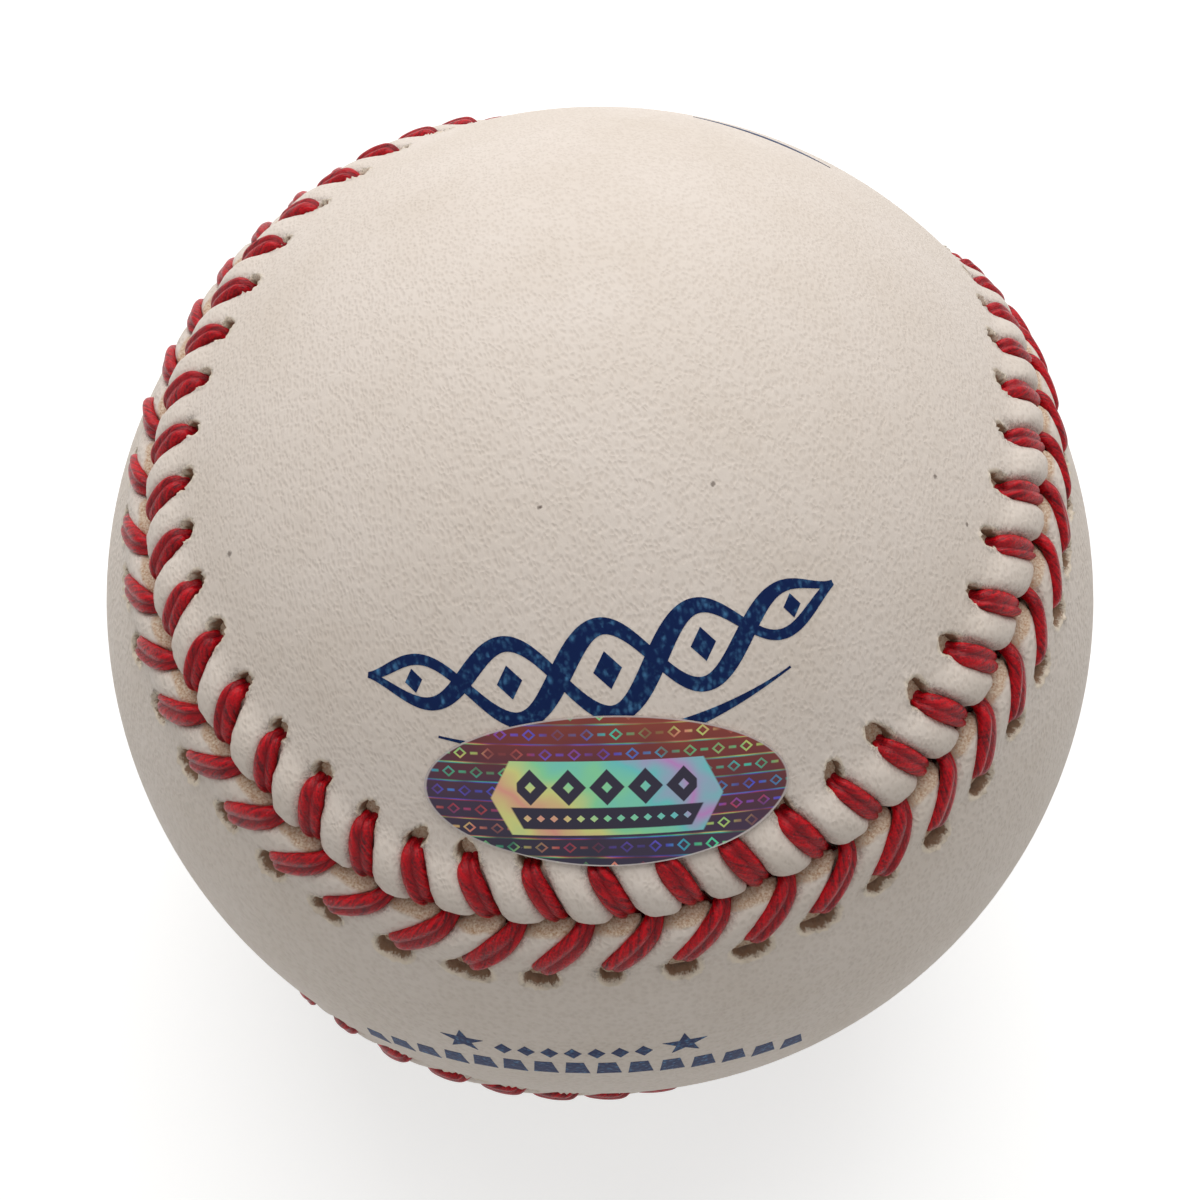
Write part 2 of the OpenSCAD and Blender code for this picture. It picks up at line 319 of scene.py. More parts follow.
def place(s, d, r):
    """Points in mm: s counts stitches along the seam, d is a distance to its left and r a radius."""
    s, d, r = np.broadcast_arrays(np.asarray(s, float), d, r)
    t = np.interp(np.mod(s, stitch_count), seam_run, seam_turns)
    out = seam_dir(t)
    left = unit(np.cross(out, seam_dir(t + 0.5) - seam_dir(t - 0.5)))
    turn = (d / ball_r)[..., None]
    return r[..., None] * (np.cos(turn) * out + np.sin(turn) * left)


# Panel A is on the left of the seam, side 1, and panel B on its right, side -1.
# From its hole to the seam, each stitch leans forward by a share of the stitch spacing.
LEAN_SHARE = {1: 0.32, -1: 0.72}


def lean(side, d):
    """How far forward a point at d from the seam lies, in stitches, on a line that follows the stitches."""
    return LEAN_SHARE[side] * np.maximum(0, hole_off - d) / (hole_off - seam_gap / 2)


# Sections across the margin, from the underside of the cut edge, up over it and out to the plain leather.
# Each point is a distance from the seam and a height over the ball, in mm: through a tab, then a groove.
TAB_SECTION = {
    1: [(0.5, -0.62), (0.25, -0.56), (0.06, -0.32), (-0.02, 0.0), (0.08, 0.3), (0.4, 0.56), (0.95, 0.7),
        (1.6, 0.75), (2.3, 0.69), (3.0, 0.48), (3.6, 0.25), (4.3, 0.09), (5.6, 0)],
    -1: [(0.42, -0.62), (0.24, -0.58), (0.22, -0.42), (0.4, -0.12), (0.62, 0.14), (0.84, 0.34), (1.08, 0.47),
         (1.6, 0.55), (2.3, 0.52), (3.0, 0.37), (3.6, 0.2), (4.3, 0.08), (5.6, 0)],
}
GROOVE_SECTION = [(0.85, -0.62), (0.75, -0.57), (0.7, -0.46), (0.7, -0.34), (0.76, -0.24), (0.95, -0.17),
                  (1.3, -0.14), (1.8, -0.13), (2.4, -0.13), (3.0, -0.13), (3.6, -0.11), (4.3, -0.02),
                  (5.6, 0)]
# Where each cut edge ends and the grain begins, as a count of the points above
GRAIN_START = {1: 3.2, -1: 5.4}
TAB_HALF_SHARE = {1: 0.345, -1: 0.33}
# Needle holes: half their width along the seam, half their length, their middle's distance, their depth
HOLE = {1: (0.58, 0.8, 4.2, 1.1), -1: (0.92, 0.8, 4.42, 0.8)}
# Points along one stitch, and rows over the edge, round the holes and out to the plain leather
columns = 20
coarse_step = 4
edge_rows = 18
hole_rows = 17
plain_rows = 2
plain_d = 6.8
rib_points = 31
under_rib_points = 15


def along_line(points, q):
    """Points of a smooth line through the given ones, at places q counted in points."""
    points = np.array(points, float)
    k = np.clip(q.astype(int), 0, len(points) - 2)
    f = (q - k)[:, None]
    a, b, c, d = (points[np.clip(k + n, 0, len(points) - 1)] for n in (-1, 0, 1, 2))
    return b + 0.5 * f * (c - a + f * (2 * a - 5 * b + 4 * c - d + f * (3 * (b - c) + d - a)))


def step(low, high, value):
    """A smooth step from 0 at low to 1 at high."""
    f = np.clip((value - low) / (high - low), 0, 1)
    return f * f * (3 - 2 * f)


def uneven(seed, u, v, size):
    """Smooth unevenness between about -1 and 1. u runs round the seam, and size is that of a lump, in mm."""
    draw = np.random.default_rng(seed)
    total = 0
    for _ in range(6):
        turns = np.round(draw.uniform(0.5, 1.4) * stitch_count * stitch_mm / size / 2)
        phase = draw.uniform(0, 2 * np.pi, 2)
        total = total + np.sin(2 * np.pi * u * turns / stitch_count + phase[0] + draw.normal() * 2 * v / size)
    return total / 4


def close_over(rim, ribs, facing, step_to_next):
    """Faces over the middle of a panel: ribs run across it, from one side of the rim to the facing side."""
    faces = []
    stations = sorted(ribs)
    for k, after in zip(stations, stations[1:]):
        here = [rim[k]] + ribs[k] + [rim[facing(k)]] if ribs[k] else [rim[k]]
        there = [rim[after]] + ribs[after] + [rim[facing(after)]] if ribs[after] else [rim[after]]
        cells = max(len(here), len(there)) - 1
        for j in range(cells):
            a, b = here[min(j, len(here) - 1)], here[min(j + 1, len(here) - 1)]
            c, d = there[min(j + 1, len(there) - 1)], there[min(j, len(there) - 1)]
            face = [a, b]
            if j == cells - 1:
                face += [rim[facing(k) - n] for n in range(1, step_to_next)]
            face += [c, d]
            if j == 0:
                face += [rim[after - n] for n in range(1, step_to_next)]
            faces.append([v for n, v in enumerate(face) if v != face[n - 1]])
    return faces


def cover_panel(name, side, first_station, facing_sum, material):
    """One panel: a fine margin along the seam, ribs across the middle, and a plain underside. The ribs begin
    at the stitch first_station, and join places on the seam whose counts of stitches add up to facing_sum."""
    draw = np.random.default_rng(40 + side)
    v = np.arange(columns) / columns
    spacing = v - 0.4 * np.sin(2 * np.pi * v) / (2 * np.pi)
    u = (np.arange(stitch_count)[:, None] + spacing).ravel()
    stitch = np.round(u).astype(int) % stitch_count
    tab = np.floor(u).astype(int) % stitch_count

    # The rows, as places along the two sections
    q = np.append(np.linspace(0, 9, edge_rows), 9 + 3 * np.arange(1, hole_rows + 1) / hole_rows)
    in_tab = along_line(TAB_SECTION[side], q)[:, :, None]
    in_groove = along_line(GROOVE_SECTION, q)[:, :, None]

    # Each tab differs a little from the next in width, height and reach
    width = TAB_HALF_SHARE[side] * (1 + 0.05 * draw.normal(size=stitch_count))[tab]
    height = np.clip(1 + 0.1 * draw.normal(size=stitch_count), 0.78, 1.15)[tab]
    reach = 0.07 * draw.normal(size=stitch_count)[tab]
    off_middle = np.abs(u - tab - 0.5 - 0.015 * draw.normal(size=stitch_count)[tab])
    ragged = 0.018 * uneven(1 + side, u, q[:, None], 0.5)
    share = np.clip((off_middle + ragged) / width, 0, 1)
    weight = np.sqrt(1 - share ** 3)
    d = (1 - weight) * in_groove[:, 0] + weight * in_tab[:, 0]
    h = (1 - weight) * in_groove[:, 1] + weight * in_tab[:, 1] * np.where(in_tab[:, 1] > 0, height, 1)
    near = step(2.5, 0.3, d)
    d = d + near * (reach * weight + 0.05 * uneven(5 + side, u, q[:, None], 0.7))
    h = h + 0.03 * near * uneven(9 + side, u, q[:, None], 0.6)

    # The needle holes are short ragged slots, torn open a little past the thread
    half_w, half_l, middle, deep = HOLE[side]
    half_w = half_w * (1 + 0.13 * draw.normal(size=stitch_count))[stitch]
    half_l = half_l * (1 + 0.13 * draw.normal(size=stitch_count))[stitch]
    skew = np.radians(14 * draw.normal(size=stitch_count))[stitch]
    middle = middle + 0.08 * draw.normal(size=stitch_count)[stitch]
    x = (u - np.round(u)) * stitch_mm
    y = d - middle
    across = (x * np.cos(skew) + y * np.sin(skew)) / half_w
    down = (y * np.cos(skew) - x * np.sin(skew)) / half_l
    torn = (np.abs(across) ** 2.4 + np.abs(down) ** 2.4) ** (1 / 2.4)
    torn = torn + 0.09 * uneven(13 + side, u, d, 0.5)
    hole = step(1.04, 0.8, torn)
    lip = np.exp(-((torn - 1.22) / 0.14) ** 2)
    h = h + 0.15 * lip * (0.6 + uneven(17 + side, u, d * 3, 0.3)) * step(3.4, 4, d)
    h = h * (1 - hole) - hole * (deep + 0.1 * uneven(21 + side, u, d, 0.5))

    suede = step(0.35, -0.35, q[:, None] - GRAIN_START[side] + 0.3 * uneven(25 + side, u, q[:, None], 0.8))
    # The grooves beside each tab, as a mask for grime and for painted shade
    low = step(0.45, 0.95, share) * step(4.9, 4.1, d) * step(0.3, 1.2, d)
    plain = np.linspace(TAB_SECTION[side][-1][0], plain_d, plain_rows + 1)[1:, None]
    d = np.vstack([d, plain + 0 * u])
    h = np.vstack([h, 0 * plain + 0 * u])
    rows = len(d)
    top = place(u + lean(side, d), side * d, ball_r + h).reshape(-1, 3)
    ids = np.arange(rows * len(u)).reshape(rows, -1)
    faces = [f for j in range(rows - 1) for f in band(ids[j], ids[j + 1])]

    # Under the margin the leather is lifted clear of the crossing threads
    coarse = u[::coarse_step]
    under = [place(coarse, side * w, leather_in_r + r) for w, r in
             ((margin_w, margin_lift), (margin_w + 2 * margin_lift, 0.05))]
    base = len(top)
    inner = base + np.arange(2 * len(coarse)).reshape(2, -1)
    points = [top] + under
    rim = ids[0]
    for k in range(len(coarse)):
        fine = [rim[(coarse_step * k + n) % len(rim)] for n in range(coarse_step + 1)]
        faces.append(fine + [inner[0][(k + 1) % len(coarse)], inner[0][k]])
    faces += band(inner[0], inner[1])
    base += inner.size

    # Ribs from each place on the seam's side to the one that faces it across the panel
    for ring, r, jump, count in ((ids[-1], ball_r, coarse_step, rib_points),
                                 (inner[1], leather_in_r + 0.05, 1, under_rib_points)):
        turn = len(ring)
        start = first_station * turn // stitch_count
        facing_sum_here = facing_sum * turn // stitch_count
        all_points = np.vstack(points)
        ribs = {}
        rib_rows = []
        for k in range(start, start + turn // 2 + 1, jump):
            if k in (start, start + turn // 2):
                ribs[k] = []
                continue
            a, b = unit(all_points[ring[k]]), unit(all_points[ring[(facing_sum_here - k) % turn]])
            angle = math.acos(np.clip(a @ b, -1, 1))
            f = np.arange(1, count + 1)[:, None] / (count + 1)
            rib_rows.append(r * (np.sin((1 - f) * angle) * a + np.sin(f * angle) * b) / math.sin(angle))
            ribs[k] = list(range(base, base + count))
            base += count
        points.append(np.vstack(rib_rows))
        wrapped = {n: ring[n % turn] for n in range(-turn, 2 * turn)}
        faces += close_over(wrapped, ribs, lambda k: (facing_sum_here - k) % turn, jump)
    points = np.vstack(points)
    raw = np.ones(len(points))
    raw[:len(top)] = np.append(suede, np.zeros((plain_rows, len(u))))
    raw[len(top) + inner.size:][:(len(coarse) // 2 - 1) * rib_points] = 0
    soil_and_shade = np.zeros(len(points))
    soil_and_shade[:low.size] = low.ravel()
    edge = np.full(len(points), 2.0)
    edge[:torn.size] = np.minimum(torn, 2).ravel()
    masks = {"suede": raw, "grime_and_shade": soil_and_shade, "torn": edge}
    return new_piece(name + "_leather", points, faces, material, [name], masks)


LEATHER = "#e7dbd0"
LEATHER_SHADE = "#e0d3c6"
PORE = "#b9a795"
SUEDE = "#b98f6e"
SUEDE_PALE = "#f0e1cb"
# A dark brown for specks of dirt, and for the grime and painted shade in the grooves
GRIME_AND_SHADE = "#4a382c"
# Browns of the fibre inside a hole, darkened to near black towards its middle as painted shade
HOLE_BROWNS_AND_SHADE = [(0.1, "#1d130d"), (0.6, "#523b2d"), (0.92, "#8f7057")]
# The pores' long side, as it lies on the panel that faces up
PORES_ALONG = (-0.5, 0.66, 0.53)
crease_mm = 1.1
mottle_mm = 7
# Hide fibre is finer than this, and is drawn this coarse so that it shows
fibre_mm = 0.14


def hide_grain(tree, pore_mm, stretch):
    """The hide's surface as a height, and a mask of its pores, which are short strokes along the hide."""
    turn = Vector((0, 1, 0)).rotation_difference(Vector(PORES_ALONG)).to_euler()
    drift = add(tree, "TexNoise", {"Vector": in_mm(tree), "Scale": 1 / crease_mm, "Detail": 2})["Color"]
    drift = add(tree, "VectorMath", {0: drift, "Scale": 0.45}, operation="SCALE")[0]
    hide = add(tree, "VectorMath", {0: in_mm(tree, (1, stretch, 1), turn), 1: drift}, operation="ADD")[0]
    pores = add(tree, "TexVoronoi", {"Vector": hide, "Scale": 1 / pore_mm, "Randomness": 0.85})["Distance"]
    pits = add(tree, "MapRange", {0: pores, 1: 0.62, 2: 0.12})[0]
    pebble = add(tree, "TexVoronoi", {"Vector": hide, "Scale": 0.62 / pore_mm},
                 feature="SMOOTH_F1")["Distance"]
    crease = add(tree, "TexNoise",
                 {"Vector": in_mm(tree), "Scale": 1 / crease_mm, "Detail": 5, "Roughness": 0.6})[0]
    low = add(tree, "Math", {0: pits, 1: pebble}, operation="ADD")[0]
    high = add(tree, "Math", {0: crease, 1: 1.3}, operation="MULTIPLY")[0]
    return add(tree, "Math", {0: high, 1: low}, operation="SUBTRACT")[0], pits


def cowhide(name, pore_mm, stretch, depth_mm, specks=()):
    """The leather of one panel, with a soft low sheen: grain with its pores, raw brown cut edges, torn holes
    with painted shade deep in them, and grooves darkened by grime and by painted shade."""
    material, tree = new_material(name)
    grain, pits = hide_grain(tree, pore_mm, stretch)
    mottle = add(tree, "TexNoise", {"Vector": in_mm(tree), "Scale": 1 / mottle_mm, "Detail": 5})[0]
    fibre = add(tree, "TexNoise",
                {"Vector": in_mm(tree), "Scale": 1 / fibre_mm, "Detail": 5, "Roughness": 0.7})[0]
    tone = add(tree, "ValToRGB", {0: mottle}, [(0.35, LEATHER), (0.8, LEATHER_SHADE)])[0]
    dark = add(tree, "Math", {0: pits, 1: 0.2}, operation="MULTIPLY")[0]
    tone = add(tree, "Mix", {0: dark, 6: tone, 7: PORE}, data_type="RGBA")[2]
    for spot, speck_mm in specks:
        away = add(tree, "VectorMath", {0: in_mm(tree), 1: spot}, operation="DISTANCE")["Value"]
        ragged = add(tree, "Math", {0: fibre, 1: speck_mm, 2: away}, operation="MULTIPLY_ADD")[0]
        speck = add(tree, "MapRange", {0: ragged, 1: 1.1 * speck_mm, 2: 0.8 * speck_mm, 4: 0.7})[0]
        tone = add(tree, "Mix", {0: speck, 6: tone, 7: GRIME_AND_SHADE}, data_type="RGBA")[2]

    # The cut edge shows fibre, and so does the rim of each hole
    suede = add(tree, "Attribute", attribute_name="suede")["Fac"]
    torn = add(tree, "Attribute", attribute_name="torn")["Fac"]
    frayed = add(tree, "Math", {0: fibre, 1: 0.5}, operation="SUBTRACT")[0]
    torn = add(tree, "Math", {0: frayed, 1: 0.32, 2: torn}, operation="MULTIPLY_ADD")[0]
    raw = add(tree, "ValToRGB", {0: fibre}, [(0.36, SUEDE), (0.66, SUEDE_PALE)])[0]
    tone = add(tree, "Mix", {0: suede, 6: tone, 7: raw}, data_type="RGBA")[2]
    rim = add(tree, "MapRange", {0: torn, 1: 1.4, 2: 1.2, 4: 0.85})[0]
    tone = add(tree, "Mix", {0: rim, 6: tone, 7: SUEDE_PALE}, data_type="RGBA")[2]
    # Inside each hole, brown fibre with painted shade that deepens to near black towards its middle
    inside = add(tree, "MapRange", {0: torn, 1: 1.08, 2: 0.98})[0]
    browns = add(tree, "ValToRGB", {0: torn}, HOLE_BROWNS_AND_SHADE)[0]
    tone = add(tree, "Mix", {0: inside, 6: tone, 7: browns}, data_type="RGBA")[2]

    # Handling leaves dark fuzz in the grooves beside the threads, and painted shade darkens the same grooves
    grime_and_shade = add(tree, "Attribute", attribute_name="grime_and_shade")["Fac"]
    patchy = add(tree, "MapRange", {0: fibre, 1: 0.42, 2: 0.62})[0]
    soiled_and_shaded = add(tree, "Math", {0: grime_and_shade, 1: patchy}, operation="MULTIPLY")[0]
    soiled_and_shaded = add(tree, "Math", {0: soiled_and_shaded, 1: 0.6}, operation="MULTIPLY")[0]
    tone = add(tree, "Mix", {0: soiled_and_shaded, 6: tone, 7: GRIME_AND_SHADE}, data_type="RGBA")[2]
    height = add(tree, "Mix", {0: suede, 2: grain, 3: fibre})[0]
    relief = add(tree, "Bump", {"Height": height, "Strength": 1.0, "Distance": depth_mm / 1000})[0]
    shine = add(tree, "MapRange", {0: suede, 3: 0.55, 4: 0.9})[0]
    surface(tree, {"Base Color": tone, "Roughness": shine, "Specular IOR Level": 0.28, "Normal": relief})
    return material


# A few specks of dirt on the lobe that faces up: where they lie, as in place(), and their size
SPECKS = [(90.1, 20.9, 0.3), (93.3, 9.5, 0.3), (92.9, 6.4, 0.25),
          (75.0, 7.5, 0.35), (83.5, 23.1, 0.2), (79.4, 23.6, 0.22)]
specks = [(place(s, d, ball_r), size) for s, d, size in SPECKS]
fine_hide = cowhide("alum-tanned white cowhide", 0.24, 1.7, 0.027, specks)
pebbled_hide = cowhide("alum-tanned white cowhide with a pebbled grain", 0.36, 1.3, 0.05)
cover_panel("cover_panel_a", 1, 27, 54, fine_hide)
cover_panel("cover_panel_b", -1, 0, 0, pebbled_hide)

# Waxed threads
# Two lengths of doubled red cotton thread, waxed and worked by hand with two needles in a herringbone stitch.
# Each leg shows two flattened strands side by side, with painted shade in the cleft between them, a faint ply
# twist, wax shine, and flecks of lint that also serve as painted highlights.
thread_w = 1.5
thread_t = 0.86
section_points = 20
# Stations of one stitch on each side: how far forward in stitches, as a share of its lean and added to it,
# the distance from the seam, the radius over or under the ball, the width and thickness as shares, the roll
STITCH_ROUTE = {
    1: [(0.0, 0.0, 3.55, -0.95, 0.66, 0.55, 0), (0.0, 0.0, 3.45, -0.35, 0.74, 0.85, 4),
        (0.1, 0.0, 3.15, 0.16, 0.84, 1.0, 8), (0.33, 0.0, 2.5, 0.3, 0.93, 1.0, 12),
        (0.62, 0.0, 1.7, 0.3, 0.93, 1.0, 14), (0.88, 0.0, 0.95, 0.18, 0.84, 0.95, 18),
        (1.0, 0.03, 0.3, -0.25, 0.68, 0.85, 20), (1.0, 0.08, -0.4, -0.95, 0.66, 0.5, 10),
        (1.0, 0.2, -1.6, -1.0, 0.85, 0.5, 0), (0.0, 0.86, -3.0, -1.0, 0.85, 0.5, 0)],
    -1: [(0.0, 0.0, 3.8, -0.95, 0.66, 0.55, 0), (0.0, 0.0, 3.62, -0.32, 0.7, 0.8, 4),
         (0.1, 0.0, 3.25, 0.2, 0.88, 0.9, 8), (0.33, 0.0, 2.6, 0.36, 1.04, 0.9, 12),
         (0.62, 0.0, 1.8, 0.38, 1.08, 0.9, 16), (0.88, 0.0, 0.95, 0.26, 0.92, 0.92, 22),
         (1.0, 0.03, 0.3, -0.25, 0.68, 0.85, 26), (1.0, 0.08, -0.4, -0.95, 0.66, 0.5, 10),
         (1.0, 0.2, -1.6, -1.0, 0.85, 0.5, 0), (0.0, 0.86, -2.7, -1.0, 0.85, 0.5, 0)],
}
STATION_STEPS = [3, 4, 6, 7, 7, 6, 4, 3, 3, 3]


def stitched_thread(name, first_side, material):
    """One thread along its whole route, over the leather, down the gap and under the other panel by turns.
    Each stitch differs in its roll, its twist, the shares of its two strands and its fatness."""
    draw = np.random.default_rng(70 + first_side)
    keys = []
    counts = []
    for i in range(stitch_count):
        side = first_side if i % 2 == 0 else -first_side
        roll, twist, uneven_share, fat = draw.normal(size=4) * [6, 9, 0.07, 0.05]
        for (share, forward, d, r, w, t, turn), steps in zip(STITCH_ROUTE[side], STATION_STEPS):
            point = place(i + LEAN_SHARE[side] * share + forward, side * d, ball_r + r)
            turn = -side * (turn + roll + twist * (share - 0.5)) * step(-1, 0, r)
            keys.append([*point, thread_w * w * (1 + fat), thread_t * t, math.radians(turn), uneven_share])
            counts.append(steps)
    places = np.concatenate([k + np.arange(n) / n for k, n in enumerate(counts[:-1])])
    line = along_line(keys, places)
    centre = line[:, :3]
    width, thick, roll, uneven_share = line[:, 3:].T[:, :, None]
    ahead = unit(np.gradient(centre, axis=0))
    across = unit(np.cross(centre, ahead))
    up = np.cross(ahead, across)
    turned = np.cos(roll) * across + np.sin(roll) * up
    risen = np.cos(roll) * up - np.sin(roll) * across

    # Two round strands, side by side and pressed together, one a little wider than the other
    half = section_points // 2
    bulge = 0.56
    start = math.acos(-(0.5 - bulge / 2) / (bulge / 2) * 0.93)
    turns = np.linspace(-start, start, half)
    x = np.append(0.5 - bulge / 2 + bulge / 2 * np.cos(turns), -(0.5 - bulge / 2 + bulge / 2 * np.cos(turns)))
    y = np.append(np.sin(turns) / 2, -np.sin(turns) / 2)
    x = (x + uneven_share * (1 - 4 * x * x)) * width
    y = y * thick
    rings = centre[:, None] + turned[:, None] * x[:, :, None] + risen[:, None] * y[:, :, None]
    ids = np.arange(rings.shape[0] * section_points).reshape(-1, section_points)
    faces = [f for k in range(len(ids) - 1) for f in band(ids[k], ids[k + 1])]
    faces += [ids[0].tolist(), ids[-1][::-1].tolist()]
    run = np.append(0, np.cumsum(np.linalg.norm(np.diff(centre, axis=0), axis=1)))
    # Where the two strands meet, a mask for the painted shade in the cleft between them
    cleft_shade = np.tile([1, 0.45] + [0] * (half - 4) + [0.45, 1], 2)
    lap = np.arange(section_points) / half
    masks = {"run": np.repeat(run, section_points), "round": np.tile(lap, len(ids)),
             "cleft_shade": np.tile(cleft_shade, len(ids))}
    return new_piece(name + "_waxed", rings.reshape(-1, 3), faces, material, [name], masks)


THREAD = "#cf0419"
# A dark red for the fibres' darker streaks and for the painted shade in the cleft
THREAD_DARK = "#5c020f"
THREAD_LINT_AND_GLINT = "#dd6f7c"
# Fibres run almost along each strand, and turn round it once in the length of a lay
lay_mm = 7
fibre_len_mm = 1.6
fibres_round = 9
# Cotton fibres are finer than the fluff and the flecks of lint, which also serve as painted highlights of the
# wax; both are drawn this coarse so that they show
fluff_mm = 0.15
lint_and_glint_mm = 0.24

waxed_cotton, tree = new_material("waxed red cotton thread")
run = add(tree, "Attribute", attribute_name="run")["Fac"]
turned = add(tree, "Attribute", attribute_name="round")["Fac"]
lay = add(tree, "Math", {0: run, 1: 2 / lay_mm, 2: turned}, operation="MULTIPLY_ADD")[0]
lay = add(tree, "Math", {0: lay, 1: fibres_round}, operation="MULTIPLY")[0]
along = add(tree, "Math", {0: run, 1: 1 / fibre_len_mm}, operation="MULTIPLY")[0]
spun = add(tree, "CombineXYZ", {0: lay, 1: along})[0]
fibres = add(tree, "TexNoise", {"Vector": spun, "Scale": 1.0, "Detail": 4, "Roughness": 0.6})[0]
fluff = add(tree, "TexNoise",
            {"Vector": in_mm(tree), "Scale": 1 / fluff_mm, "Detail": 4, "Roughness": 0.6})[0]
height = add(tree, "Mix", {0: 0.4, 2: fibres, 3: fluff})[0]
shade = add(tree, "ValToRGB", {0: height}, [(0.39, THREAD_DARK), (0.58, THREAD)])[0]
# Painted shade darkens the cleft between the two strands, broken up by fluff
cleft_shade = add(tree, "Attribute", attribute_name="cleft_shade")["Fac"]
cleft_shade = add(tree, "Math", {0: cleft_shade, 1: fluff}, operation="MULTIPLY")[0]
shade = add(tree, "Mix", {0: cleft_shade, 6: shade, 7: THREAD_DARK}, data_type="RGBA")[2]
# Pale flecks of lint, which also serve as painted highlights where the wax would glint
lint_and_glint = add(tree, "TexNoise",
           {"Vector": in_mm(tree), "Scale": 1 / lint_and_glint_mm, "Detail": 4, "Roughness": 0.75})[0]
lint_and_glint = add(tree, "ValToRGB", {0: lint_and_glint}, [(0.65, 0.0), (0.75, 0.75)])[0]
shade = add(tree, "Mix", {0: lint_and_glint, 6: shade, 7: THREAD_LINT_AND_GLINT}, data_type="RGBA")[2]
relief = add(tree, "Bump", {"Height": height, "Strength": 0.9, "Distance": 0.00013})[0]
surface(tree, {"Base Color": shade, "Roughness": 0.34, "Specular IOR Level": 0.22, "Normal": relief})

stitched_thread("stitching_thread_a", 1, waxed_cotton)
stitched_thread("stitching_thread_b", -1, waxed_cotton)

# Oval sticker
# A thin oval of metallised foil with a pressure-sensitive back, laid on the leather by hand.
# Fine ruled lines and rows of dashes turn from blue to green to red along it, over a dark wine ground.
sticker_l = 19.5
sticker_h = 8.3
sticker_t = 0.12
sticker_at = 84.3
sticker_off = 7.95
sticker_turn = math.radians(-5.6)
FOIL_GROUND = [(0.0, "#1b1731"), (0.35, "#38203e"), (0.6, "#561f2f"), (0.85, "#7a2c26"), (1.0, "#8c3a2c")]
FOIL_HUES = [(0.0, "#4f55d6"), (0.16, "#39b7cf"), (0.3, "#4fd69a"), (0.44, "#c4dc74"), (0.56, "#e89078"),
             (0.7, "#c23b45"), (0.84, "#7d4fc4"), (1.0, "#4f55d6")]
PLATE_HUES = [(0.0, "#e7a08c"), (0.25, "#dfe08a"), (0.5, "#8fe0a6"), (0.75, "#6fd0cf"), (1.0, "#c98fd0")]
FOIL_INK = "#1d1530"
FOIL_EDGE = "#c9bfbb"
row_mm = 1.06
motif_mm = 1.5
plate_l = 12.2
plate_h = 4.2
dot_mm = 0.7
big_lozenge_mm = 2.0


def on_ball(middle, along, x, y, r):
    """Points at r, where x and y in mm run over the ball from a middle, x along a given direction."""
    middle = unit(np.asarray(middle, float))
    x_dir = unit(along - (along @ middle) * middle)
    y_dir = np.cross(middle, x_dir)
    far = np.hypot(x, y)[..., None]
    safe = np.maximum(far, 1e-9)
    toward = (x[..., None] * x_dir + y[..., None] * y_dir) / safe
    return r * (np.cos(far / ball_r) * middle + np.sin(far / ball_r) * toward)


def disc_points(rings, sides):
    """Radius shares and turns for the points of a disc, the middle first."""
    share = np.append(0, np.repeat(np.arange(1, rings + 1) / rings, sides))
    turn = np.append(0, np.tile(np.arange(sides) * 2 * np.pi / sides, rings))
    return share, turn


def off_seam(points):
    """The distance of points from the seam's middle line, in mm over the ball."""
    nearest = (unit(points) @ seam_dir(seam_turns).T).max(axis=1)
    return ball_r * np.arccos(np.clip(nearest, -1, 1))


rings, sides = 16, 120
share, turn = disc_points(rings, sides)
along_seam = place(sticker_at + 0.1, 0, 1) - place(sticker_at - 0.1, 0, 1)
middle = place(sticker_at, sticker_off, 1)
foil_x = share * np.cos(turn) * sticker_l / 2
foil_y = share * np.sin(turn) * sticker_h / 2
x = foil_x * math.cos(sticker_turn) - foil_y * math.sin(sticker_turn)
y = foil_x * math.sin(sticker_turn) + foil_y * math.cos(sticker_turn)
# Its lower edge rides up over the ends of the tabs
lift = 0.03 + 0.02 * share ** 6 + 0.34 * step(4.7, 3.5, off_seam(on_ball(middle, along_seam, x, y, 1)))
top = on_ball(middle, along_seam, x, y, (ball_r + lift + sticker_t)[:, None])
bottom = on_ball(middle, along_seam, x, y, (ball_r + lift)[:, None])
ids = 1 + np.arange(rings * sides).reshape(rings, sides)
faces = [[0, ids[0][k], ids[0][(k + 1) % sides]] for k in range(sides)]
for k in range(rings - 1):
    faces += band(ids[k], ids[k + 1])
under = len(top)
faces = faces + [[v + under for v in f] for f in faces] + band(ids[-1], ids[-1] + under)
masks = {"foil_x": np.tile(foil_x, 2), "foil_y": np.tile(foil_y, 2), "foil_edge": np.tile(share, 2)}


def stripe(tree, across, middle, half_w, soft_mm=0.03):
    """A stripe of a printed pattern: 1 within half_w of its middle and 0 outside, as measured by across."""
    off = add(tree, "Math", {0: across, 1: middle}, operation="SUBTRACT")[0]
    off = add(tree, "Math", {0: off}, operation="ABSOLUTE")[0]
    return add(tree, "MapRange", {0: off, 1: half_w + soft_mm, 2: half_w - soft_mm})[0]


def lozenge(tree, x, y, half_l, half_h):
    """How far out a point lies in a lozenge, 1 on its border. x and y are distances from its middle."""
    far = add(tree, "Math", {0: x, 1: 1 / half_l}, operation="MULTIPLY")[0]
    return add(tree, "Math", {0: y, 1: 1 / half_h, 2: far}, operation="MULTIPLY_ADD")[0]


